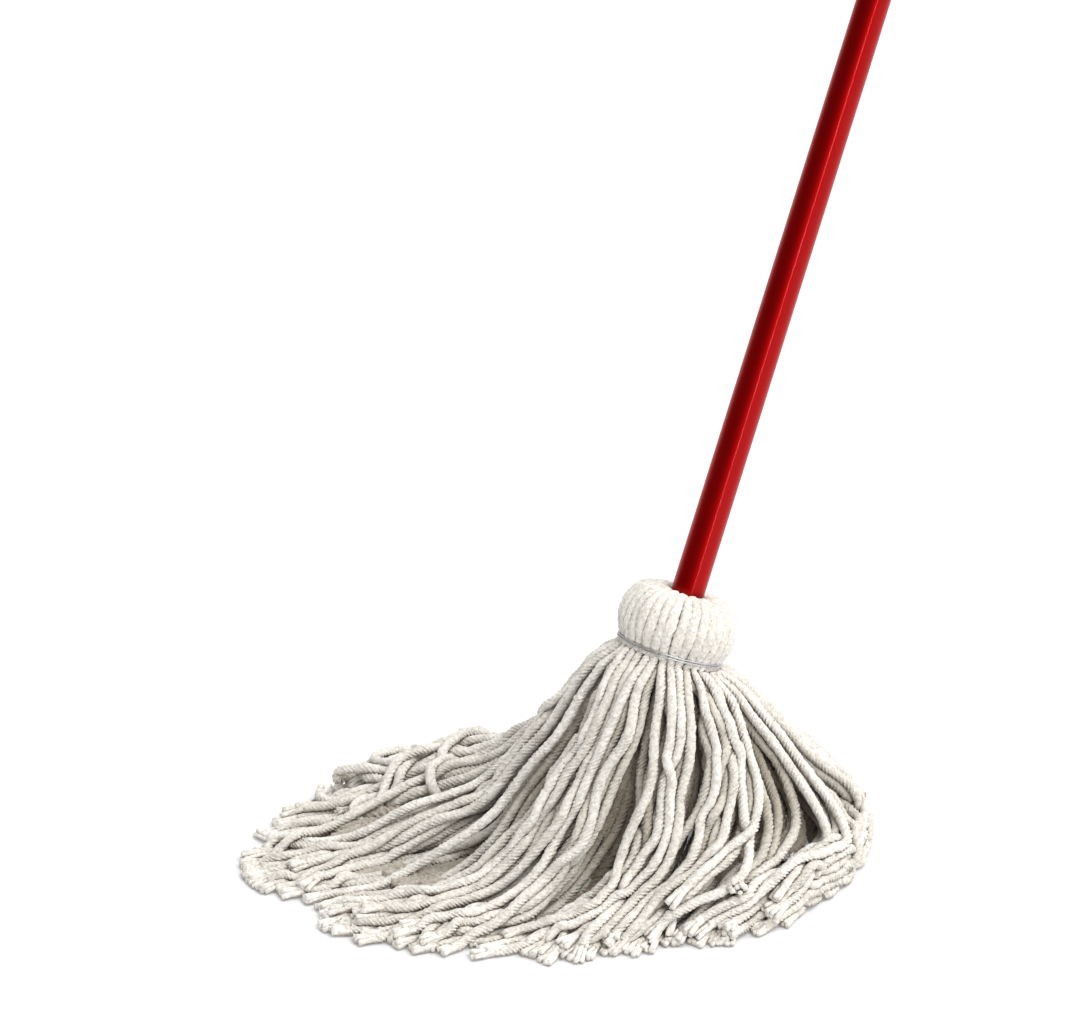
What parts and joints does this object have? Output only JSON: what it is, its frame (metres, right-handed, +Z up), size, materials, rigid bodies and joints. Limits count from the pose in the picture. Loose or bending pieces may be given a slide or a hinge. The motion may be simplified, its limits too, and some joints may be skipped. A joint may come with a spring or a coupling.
{
  "type": "string mop",
  "caption": "Cotton string mop: a wire-bound head of thick yarn standing spread on the floor, with a straight round red handle leaning out of it.",
  "frame": {"origin": "on the floor, straight below the centre of the outer binding wire", "axes": "+Z up, away from the floor; the handle leans towards +X; the yarn trails towards -X and partly towards +Y"},
  "size_m": [0.8015, 0.3617, 1.2648],
  "materials": {
    "handle_coating": "glossy coating",
    "cap_plastic": "moulded, low gloss",
    "plug_plastic": "moulded",
    "zinc_steel": "galvanised",
    "zinc_wire": "galvanised",
    "cotton_yarn": "loosely twisted natural cotton"
  },
  "bodies": {
    "strands": {"centre_strands": "cotton_yarn", "lock_01": "cotton_yarn", "lock_02": "cotton_yarn", "lock_03": "cotton_yarn", "lock_04": "cotton_yarn", "lock_05": "cotton_yarn", "lock_06": "cotton_yarn", "lock_07": "cotton_yarn", "lock_08": "cotton_yarn", "lock_09": "cotton_yarn", "lock_10": "cotton_yarn", "lock_11": "cotton_yarn", "lock_12": "cotton_yarn", "lock_13": "cotton_yarn", "lock_14": "cotton_yarn", "lock_15": "cotton_yarn", "lock_16": "cotton_yarn"},
    "handle": {"handle_tube": "handle_coating", "hanger_cap": "cap_plastic", "foot_plug": "plug_plastic", "anchor_pin": "zinc_steel", "inner_wire": "zinc_wire", "outer_wire": "zinc_wire", "straight_yarn": "cotton_yarn", "neck_yarn": "cotton_yarn", "fold_01": "cotton_yarn", "fold_02": "cotton_yarn", "fold_03": "cotton_yarn", "fold_04": "cotton_yarn", "fold_05": "cotton_yarn", "fold_06": "cotton_yarn", "fold_07": "cotton_yarn", "fold_08": "cotton_yarn"}
  },
  "joints": [
    {"name": "handle_tilt", "type": "hinge", "parent": "strands", "child": "handle", "pos_m": [0, 0, 0.16], "axis": [0, 1, 0], "range_deg": [-25, 35]}
  ]
}
